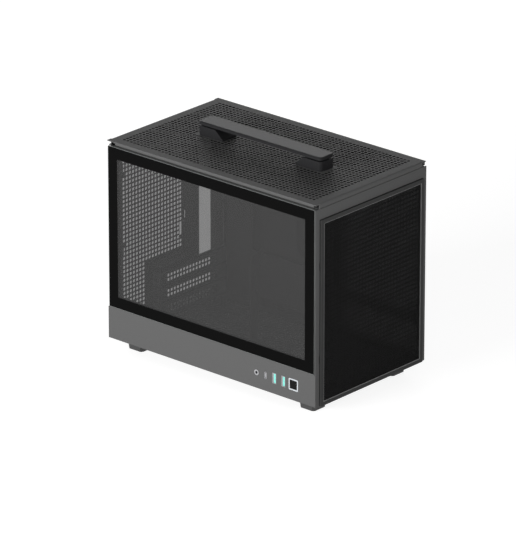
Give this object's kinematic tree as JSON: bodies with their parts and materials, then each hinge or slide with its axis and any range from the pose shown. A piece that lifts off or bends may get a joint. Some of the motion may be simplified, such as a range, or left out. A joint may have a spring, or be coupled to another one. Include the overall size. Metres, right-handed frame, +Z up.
{
  "type": "mini itx computer case",
  "caption": "Small upright computer case of folded black steel with a glass side, perforated panels, lift-off dust filters, a top handle and a strip of ports under the glass",
  "frame": {"origin": "centre of the footprint on the surface the feet stand on", "axes": "+X towards the front panel, -Y towards the glass side, +Y towards the closed side panel, +Z up"},
  "size_m": [0.3364, 0.2, 0.2888],
  "materials": {
    "black_painted_steel": "fine textured powder coat on folded 0.8 mm steel",
    "black_screws": "black oxide",
    "black_standoffs": "black zinc plated, machined",
    "tinted_glass": "clear tempered glass with a black printed border",
    "stud_steel": "plain turned",
    "black_plastic": "moulded, fine grain",
    "handle_aluminium": "black anodised, fine bead blast",
    "filter_mesh": "woven nylon mesh",
    "foot_plastic": "moulded",
    "foot_rubber": "soft pad",
    "circuit_board": "black solder mask",
    "port_steel": "plated steel shell",
    "teal_plastic": "moulded",
    "light_ring": "clear light guide",
    "button_plastic": "moulded, polished"
  },
  "bodies": {
    "chassis": {"audio_jack": "black_plastic", "bottom_filter_frame": "black_plastic", "bottom_filter_mesh": "filter_mesh", "card_support_bracket": "black_painted_steel", "card_support_screws": "black_screws", "drive_plate": "black_painted_steel", "floor_panel": "black_painted_steel", "foot_front_left": "foot_plastic", "foot_front_right": "foot_plastic", "foot_pads": "foot_rubber", "foot_rear_left": "foot_plastic", "foot_rear_right": "foot_plastic", "front_panel": "black_painted_steel", "glass_stud_sockets": "black_plastic", "io_board": "circuit_board", "io_board_posts": "black_plastic", "io_slot_bracket": "black_painted_steel", "io_strip": "black_painted_steel", "motherboard_standoffs": "black_standoffs", "motherboard_tray": "black_painted_steel", "power_ring": "light_ring", "power_switch": "black_plastic", "rear_wall": "black_painted_steel", "slot_cover_1": "black_painted_steel", "slot_cover_2": "black_painted_steel", "slot_cover_3": "black_painted_steel", "slot_cover_screws": "black_screws", "top_rail": "black_painted_steel", "tray_bar": "black_painted_steel", "usb_a_port_front": "port_steel", "usb_a_port_rear": "port_steel", "usb_a_tongue_front": "teal_plastic", "usb_a_tongue_rear": "teal_plastic", "usb_c_port": "port_steel"},
    "glass_panel": {"glass_panel": "tinted_glass", "glass_studs": "stud_steel"},
    "side_panel": {"side_panel": "black_painted_steel", "side_panel_tabs": "black_painted_steel"},
    "top_filter": {"top_filter_frame": "black_plastic", "top_filter_mesh": "filter_mesh"},
    "top_cover": {"top_cover": "black_painted_steel", "handle_bar": "handle_aluminium", "handle_block_rear": "handle_aluminium", "handle_block_front": "handle_aluminium", "handle_screws": "black_screws", "cover_catches": "black_plastic"},
    "front_filter": {"front_filter_frame": "black_plastic", "front_filter_mesh": "filter_mesh"},
    "power_button": {"power_button": "button_plastic"}
  },
  "joints": [
    {"name": "glass_panel_pull", "type": "slide", "parent": "chassis", "child": "glass_panel", "axis": [0, -1, 0], "range_m": [0, 0.185]},
    {"name": "side_panel_pull", "type": "slide", "parent": "chassis", "child": "side_panel", "axis": [0, 1, 0], "range_m": [0, 0.1516]},
    {"name": "top_filter_lift", "type": "slide", "parent": "chassis", "child": "top_filter", "axis": [0, 0, 1], "range_m": [0, 0.0594]},
    {"name": "top_cover_lift", "type": "slide", "parent": "top_filter", "child": "top_cover", "axis": [0, 0, 1], "range_m": [0, 0.066]},
    {"name": "front_filter_pull", "type": "slide", "parent": "chassis", "child": "front_filter", "axis": [1, 0, 0], "range_m": [0, 0.138]},
    {"name": "power_button_press", "type": "slide", "parent": "chassis", "child": "power_button", "axis": [0, 1, 0], "range_m": [0, 0.001], "stiffness_N_per_m": 800}
  ]
}
